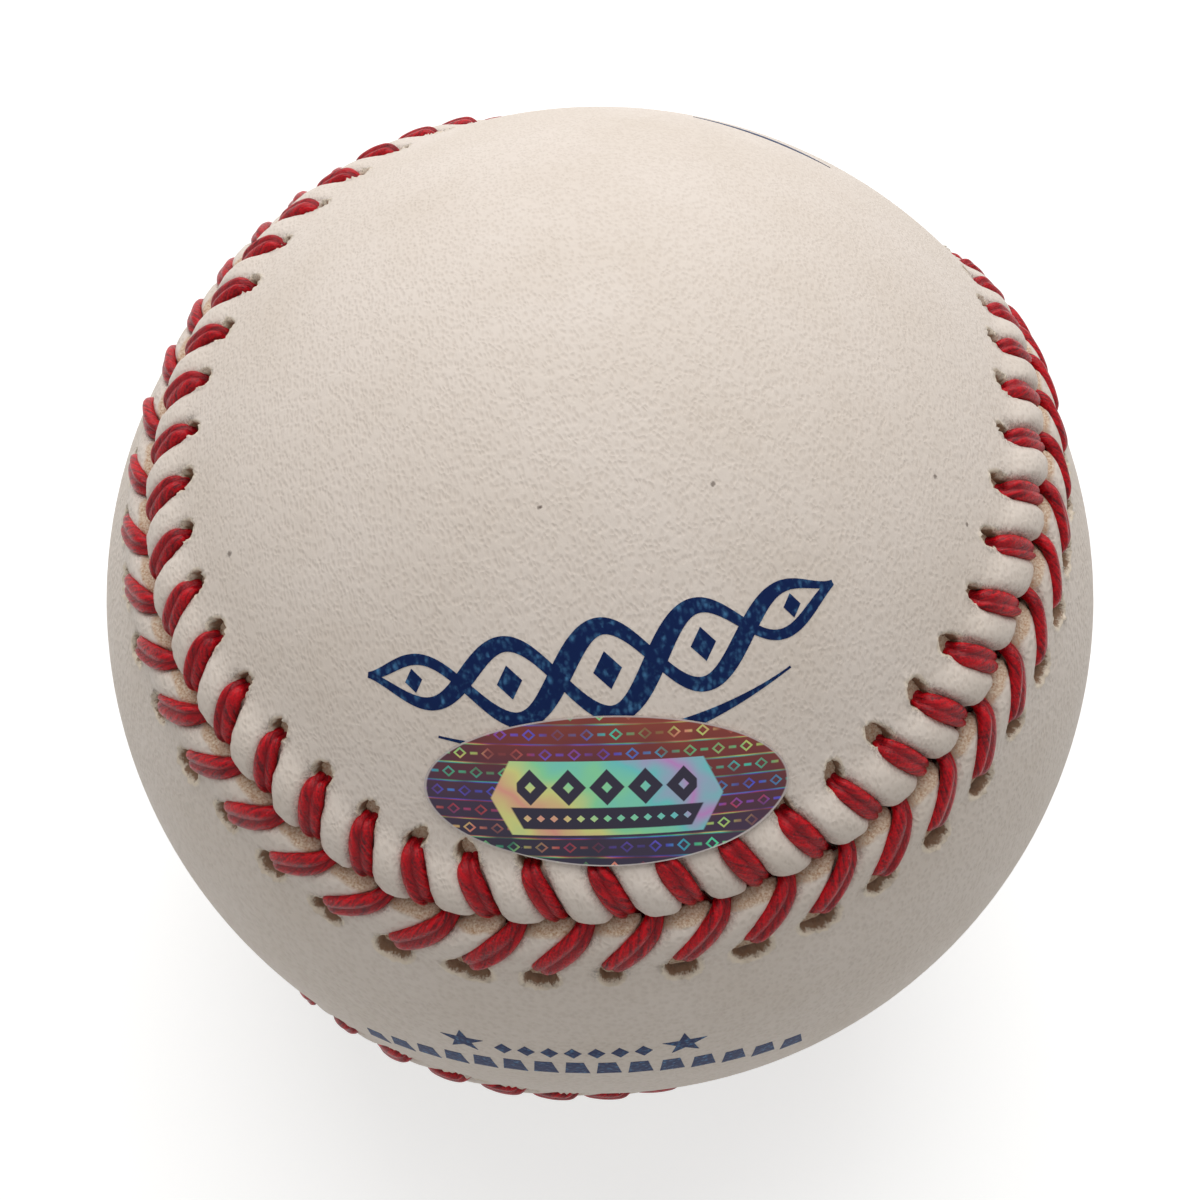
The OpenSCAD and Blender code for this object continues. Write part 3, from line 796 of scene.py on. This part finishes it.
# Metallised film under a clear coat gleams more like paint than like a mirror, so it is hardly metallic
iridescent_foil, tree = new_material("iridescent foil")
foil_x = add(tree, "Attribute", attribute_name="foil_x")["Fac"]
foil_y = add(tree, "Attribute", attribute_name="foil_y")["Fac"]
spot = add(tree, "CombineXYZ", {0: foil_x, 1: foil_y})[0]
clouds = add(tree, "TexNoise", {"Vector": spot, "Scale": 1 / 3.5, "Detail": 2})[0]
ground_at = add(tree, "Math", {0: foil_y, 1: 0.115, 2: 0.25}, operation="MULTIPLY_ADD")[0]
ground_at = add(tree, "Math", {0: clouds, 1: 0.5, 2: ground_at}, operation="MULTIPLY_ADD")[0]
ground_at = add(tree, "Math", {0: foil_x, 1: 0.018, 2: ground_at}, operation="MULTIPLY_ADD")[0]
colour = add(tree, "ValToRGB", {0: ground_at}, FOIL_GROUND)[0]

# Ruled lines, and between them rows of small hollow lozenges and dashes, each row shifted against the next
row = add(tree, "Math", {0: foil_y, 1: 1 / row_mm, 2: 0.5}, operation="MULTIPLY_ADD")[0]
row = add(tree, "Math", {0: row}, operation="FLOOR")[0]
off_row = add(tree, "Math", {0: foil_y, 1: row_mm / 2}, operation="PINGPONG")[0]
to_rule = add(tree, "Math", {0: row_mm / 2, 1: off_row}, operation="SUBTRACT")[0]
shifted = add(tree, "Math", {0: row, 1: 0.55 * motif_mm, 2: foil_x}, operation="MULTIPLY_ADD")[0]
off_motif = add(tree, "Math", {0: shifted, 1: motif_mm / 2}, operation="PINGPONG")[0]
off_dash = add(tree, "Math", {0: motif_mm / 2, 1: off_motif}, operation="SUBTRACT")[0]
rules = stripe(tree, to_rule, 0.0, 0.045)
hollow = stripe(tree, lozenge(tree, off_motif, off_row, 0.36, 0.32), 0.8, 0.2)
dash = stripe(tree, off_dash, 0.0, 0.2)
dash = add(tree, "Math", {0: dash, 1: stripe(tree, off_row, 0.0, 0.07)}, operation="MULTIPLY")[0]
marks = add(tree, "Math", {0: hollow, 1: dash}, operation="MAXIMUM")[0]
marks = add(tree, "Math", {0: marks, 1: rules}, operation="MAXIMUM")[0]
# Painted sheen: the marks show brighter in broad patches, as where the foil gleams
painted_gleam = add(tree, "TexNoise", {"Vector": spot, "Scale": 1 / 2.2, "Detail": 1})[0]
painted_gleam = add(tree, "MapRange", {0: painted_gleam, 1: 0.36, 2: 0.6, 3: 0.15, 4: 0.95})[0]
marks = add(tree, "Math", {0: marks, 1: painted_gleam}, operation="MULTIPLY")[0]
hue = add(tree, "Math", {0: row, 1: 0.23, 2: clouds}, operation="MULTIPLY_ADD")[0]
hue = add(tree, "Math", {0: foil_x, 1: 0.075, 2: hue}, operation="MULTIPLY_ADD")[0]
hue = add(tree, "Math", {0: hue}, operation="FRACT")[0]
hues = add(tree, "ValToRGB", {0: hue}, FOIL_HUES)[0]
colour = add(tree, "Mix", {0: marks, 6: colour, 7: hues}, data_type="RGBA")[2]

# A plate with pointed ends, framed in shifting colour, with five dark lozenges over a row of dots
plate_x = add(tree, "Math", {0: foil_x}, operation="ABSOLUTE")[0]
plate_y = add(tree, "Math", {0: foil_y, 1: 0.35}, operation="ADD")[0]
from_middle = add(tree, "Math", {0: plate_y}, operation="ABSOLUTE")[0]
ends = lozenge(tree, plate_x, from_middle, plate_l / 2, plate_l)
upper = add(tree, "Math", {0: from_middle, 1: 2 / plate_h}, operation="MULTIPLY")[0]
plate = add(tree, "Math", {0: ends, 1: upper}, operation="MAXIMUM")[0]
plate_hue = add(tree, "Math", {0: foil_x, 1: 0.09, 2: clouds}, operation="MULTIPLY_ADD")[0]
plate_hue = add(tree, "Math", {0: plate_y, 1: 0.12, 2: plate_hue}, operation="MULTIPLY_ADD")[0]
plate_hue = add(tree, "Math", {0: plate_hue, 1: 1.0}, operation="PINGPONG")[0]
pastel = add(tree, "ValToRGB", {0: plate_hue}, PLATE_HUES)[0]
on_plate = stripe(tree, plate, 0.0, 1.0, 0.008)
colour = add(tree, "Mix", {0: on_plate, 6: colour, 7: pastel}, data_type="RGBA")[2]
strip_y = add(tree, "Math", {0: plate_y, 1: 1.12}, operation="ADD")[0]
strip = stripe(tree, strip_y, 0.0, 0.62)
strip = add(tree, "Math", {0: strip, 1: stripe(tree, plate, 0.0, 0.87, 0.008)}, operation="MULTIPLY")[0]
colour = add(tree, "Mix", {0: strip, 6: colour, 7: FOIL_INK}, data_type="RGBA")[2]
off_dot = add(tree, "Math", {0: foil_x, 1: dot_mm / 2}, operation="PINGPONG")[0]
off_strip = add(tree, "Math", {0: strip_y}, operation="ABSOLUTE")[0]
dots = stripe(tree, lozenge(tree, off_dot, off_strip, 0.26, 0.24), 0.0, 0.85)
dots = add(tree, "Math", {0: dots, 1: stripe(tree, foil_x, 0.0, 4.4)}, operation="MULTIPLY")[0]
colour = add(tree, "Mix", {0: dots, 6: colour, 7: pastel}, data_type="RGBA")[2]
off_big = add(tree, "Math", {0: foil_x, 1: big_lozenge_mm / 2}, operation="PINGPONG")[0]
big_y = add(tree, "Math", {0: plate_y, 1: 0.65}, operation="SUBTRACT")[0]
big_y = add(tree, "Math", {0: big_y}, operation="ABSOLUTE")[0]
big = lozenge(tree, off_big, big_y, 0.95, 1.05)
five = stripe(tree, foil_x, 0.0, 4.7)
big = add(tree, "Math", {0: stripe(tree, big, 0.63, 0.34), 1: five}, operation="MULTIPLY")[0]
colour = add(tree, "Mix", {0: big, 6: colour, 7: FOIL_INK}, data_type="RGBA")[2]
foil_edge = add(tree, "Attribute", attribute_name="foil_edge")["Fac"]
foil_edge = add(tree, "MapRange", {0: foil_edge, 1: 0.982, 2: 0.99, 4: 0.8})[0]
colour = add(tree, "Mix", {0: foil_edge, 6: colour, 7: FOIL_EDGE}, data_type="RGBA")[2]
surface(tree, {"Base Color": colour, "Metallic": 0.2, "Roughness": 0.35})
new_piece("oval_sticker_foil", np.vstack([top, bottom]), faces, iridescent_foil,
          ["oval_sticker"], masks, 40)

# Printed ornament
# Navy ink stamped into the grain of the leather, with pale flecks where it missed the pores.
# Two swelled strands twined round a row of lozenges lie over the sticker, and stars with rows of lozenges and
# bars lie on the other panel.
INK = "#071f4e"
INK_FLECK = "#4f86b4"
ink_t = 0.02
missed_mm = 0.4


def ribbon(middle, along, x, y, width):
    """A strip of ink round a middle line, in mm: its points on the ball and its quads."""
    ahead = unit(np.stack([np.gradient(x), np.gradient(y)], -1))
    side_x, side_y = -ahead[:, 1] * width / 2, ahead[:, 0] * width / 2
    left = on_ball(middle, along, x + side_x, y + side_y, 1)
    right = on_ball(middle, along, x - side_x, y - side_y, 1)
    n = len(x)
    quads = [[k, k + 1, n + k + 1, n + k] for k in range(n - 1)]
    return np.vstack([left, right]), quads


def shape(middle, along, corners):
    """A shape of ink from its corners, as a fan round its middle: its points on the ball and its faces."""
    x, y = np.array(corners, float).T
    points = on_ball(middle, along, np.append(x.mean(), x), np.append(y.mean(), y), 1)
    n = len(x)
    return points, [[0, 1 + k, 1 + (k + 1) % n] for k in range(n)]


def printed(name, parts):
    """One film of stamped ink from all the strips and shapes of a print, closed at its edges."""
    points, faces = [], []
    base = 0
    for flat, cells in parts:
        n = len(flat)
        edges = [(a, b) for f in cells for a, b in zip(f, f[1:] + f[:1])]
        free = [(a, b) for a, b in edges if (b, a) not in edges]
        points += [flat * (ball_r + ink_t), flat * (ball_r - ink_t)]
        faces += [[base + v for v in f] for f in cells] + [[base + n + v for v in f[::-1]] for f in cells]
        faces += [[base + b, base + a, base + n + a, base + n + b] for a, b in free]
        base += 2 * n
    return new_piece(name, np.vstack(points), faces, stamped_ink, sharp_turn=40)


stamped_ink, tree = new_material("navy stamping ink")
grain, pits = hide_grain(tree, 0.3, 1.9)
missed = add(tree, "TexNoise", {"Vector": in_mm(tree), "Scale": 1 / missed_mm, "Detail": 2})[0]
missed = add(tree, "MapRange", {0: missed, 1: 0.42, 2: 0.7, 4: 0.9})[0]
flecks = add(tree, "Math", {0: pits, 1: missed}, operation="MULTIPLY")[0]
colour = add(tree, "Mix", {0: flecks, 6: INK, 7: INK_FLECK}, data_type="RGBA")[2]
relief = add(tree, "Bump", {"Height": grain, "Strength": 1.0, "Distance": 0.00002})[0]
surface(tree, {"Base Color": colour, "Roughness": 0.5, "Specular IOR Level": 0.12, "Normal": relief})

# Two strands cross and cross again, thick going up and thin going down, and fade into tails
twine_l = 25.5
twine_h = 2.3
twine_bow = 0.012
eyes = 5
middle = place(84.6, 14.4, 1)
along = place(90.2, 11.6, 1) - place(79.0, 10.6, 1)
x = np.linspace(-twine_l / 2, twine_l / 2, 241)
swell = np.sin(np.pi * (x / twine_l + 0.5)) ** 0.6
wave = np.sin(np.pi * eyes * (x / twine_l + 0.5))
slope = np.cos(np.pi * eyes * (x / twine_l + 0.5))
bow = twine_bow * x * x
parts = [ribbon(middle, along, x, bow + sign * twine_h * swell * wave,
                0.3 + (0.62 + 0.3 * sign * slope) * swell) for sign in (1, -1)]
for k in range(eyes):
    at = twine_l * ((k + 0.5) / eyes - 0.5)
    size = 0.5 + 0.5 * math.sin(math.pi * (k + 0.5) / eyes)
    bow = twine_bow * at * at
    parts.append(shape(middle, along, [(at + 0.75 * size, bow), (at, bow + size),
                                       (at - 0.75 * size, bow), (at, bow - size)]))
rule_l = 19
x = np.linspace(-rule_l / 2, rule_l / 2, 61)
parts.append(ribbon(middle, along, x, 0.022 * x * x - 3.9, 0.12 + 0.75 * np.cos(np.pi * x / rule_l) ** 1.5))
printed("printed_twine_ornament", parts)

# Stars and a row of lozenges on panel B, with a curved row of bars under them
along = place(85.4, 0, 1) - place(81.4, 0, 1)
middle = place(83.25, -13.0, 1)
parts = []
star_r = (1.45, 0.58)
star = [(star_r[k % 2] * math.sin(k * math.pi / 5), star_r[k % 2] * math.cos(k * math.pi / 5))
        for k in range(10)]
for at in (-6.9, 6.9):
    parts.append(shape(middle, along, [(at + a, b + 0.3) for a, b in star]))
for k in range(-3, 4):
    at = 1.45 * k
    parts.append(shape(middle, along, [(at + 0.55, 0), (at, 0.72), (at - 0.55, 0), (at, -0.72)]))
for k in range(-7, 8):
    at = 2.0 * k
    low = -2.5 - 0.012 * at * at
    parts.append(shape(middle, along, [(at + 0.55, low + 1.0), (at - 0.55, low + 1.0), (at - 0.8, low - 1.0),
                                       (at + 0.8, low - 1.0)]))
printed("printed_star_ornament", parts)

# A thin swelled rule far over on panel A
thin_rule_l = 10
middle = place(99.9, 20.8, 1)
along = place(98.8, 17.3, 1) - place(99.3, 23.9, 1)
x = np.linspace(-thin_rule_l / 2, thin_rule_l / 2, 41)
thin_rule = ribbon(middle, along, x, 0 * x, 0.1 + 0.6 * np.cos(np.pi * x / thin_rule_l))
printed("printed_thin_rule", [thin_rule])

# Studio
# The ball rests on a white table under a large soft light, in front of a white background.
# The camera looks down on the end of one lobe, close to, as in a product photograph.
camera_far = 2.7 * ball_r
camera_azimuth = math.radians(14.0)
camera_height = math.radians(53.3)
camera_roll = math.radians(-8.9)
# The ball's outline is 493.5 pixels in radius in the picture, which is 1200 pixels wide
picture_px = 1200
ball_px = 493.5
sensor_mm = 36
focal_px = ball_px * math.sqrt((camera_far / ball_r) ** 2 - 1)

look = Vector((math.sin(camera_azimuth) * math.cos(camera_height),
               -math.cos(camera_azimuth) * math.cos(camera_height),
               math.sin(camera_height)))
level = Vector((math.cos(camera_azimuth), math.sin(camera_azimuth), 0))
upright = look.cross(level)
camera_up = math.cos(camera_roll) * upright + math.sin(camera_roll) * level
camera_right = camera_up.cross(look)
camera_data = bpy.data.cameras.new("camera")
camera_data.sensor_width = sensor_mm
camera_data.lens = focal_px / picture_px * sensor_mm
camera_data.clip_start = 0.005
camera_data.clip_end = 20
camera = bpy.data.objects.new("camera", camera_data)
bpy.context.scene.collection.objects.link(camera)
camera.matrix_world = Matrix.Translation(look * camera_far / 1000) @ Matrix(
    (camera_right, camera_up, look)).transposed().to_4x4()
bpy.context.scene.camera = camera


def shows_itself(tree):
    """1 for the rays that see or mirror a thing, and 0 for those by which it lights the others."""
    ray = add(tree, "LightPath")
    glossy, through = ray["Is Glossy Ray"], ray["Is Transmission Ray"]
    mirrored = add(tree, "Math", {0: glossy, 1: through}, operation="MAXIMUM")[0]
    return add(tree, "Math", {0: ray["Is Camera Ray"], 1: mirrored}, operation="MAXIMUM")[0]


# The table is white, and looks white to the camera where the light reaches it
floor_half_m = 2
floor_corners = [(x * floor_half_m, y * floor_half_m, 0) for x, y in ((-1, -1), (1, -1), (1, 1), (-1, 1))]
floor_mesh = bpy.data.meshes.new("floor")
floor_mesh.from_pydata(floor_corners, [], [(0, 1, 2, 3)])
floor = bpy.data.objects.new("floor", floor_mesh)
bpy.context.scene.collection.objects.link(floor)
floor.location.z = -ball_r / 1000
table_white, tree = new_material("white table")
plain = add(tree, "BsdfDiffuse", {"Color": "#c9c9c7"})[0]
glow = add(tree, "Emission", {"Color": "#ffffff", "Strength": 0.6})[0]
lit = add(tree, "AddShader", {0: plain, 1: glow})[0]
shown = add(tree, "MixShader", {0: shows_itself(tree), 1: plain, 2: lit})[0]
add(tree, "OutputMaterial", {"Surface": shown})
floor_mesh.materials.append(table_white)

world = bpy.data.worlds.new("studio")
bpy.context.scene.world = world
world.use_nodes = True
background = world.node_tree.nodes["Background"]
background.inputs["Color"].default_value = linear("#ffffff")
strength = add(world.node_tree, "MapRange", {0: shows_itself(world.node_tree), 3: 0.4, 4: 1.0})[0]
world.node_tree.links.new(strength, background.inputs["Strength"])


def softbox(name, place_mm, size_mm, watts):
    """A square soft light that faces the ball."""
    data = bpy.data.lights.new(name, "AREA")
    data.size = size_mm / 1000
    data.energy = watts
    lamp = bpy.data.objects.new(name, data)
    bpy.context.scene.collection.objects.link(lamp)
    lamp.location = Vector(place_mm) / 1000
    lamp.rotation_mode = "QUATERNION"
    lamp.rotation_quaternion = lamp.location.to_track_quat("Z", "Y")


softbox("softbox over the ball", camera_up * 430 + look * 250, 460, 2.0)
bpy.context.scene.view_settings.view_transform = "Standard"
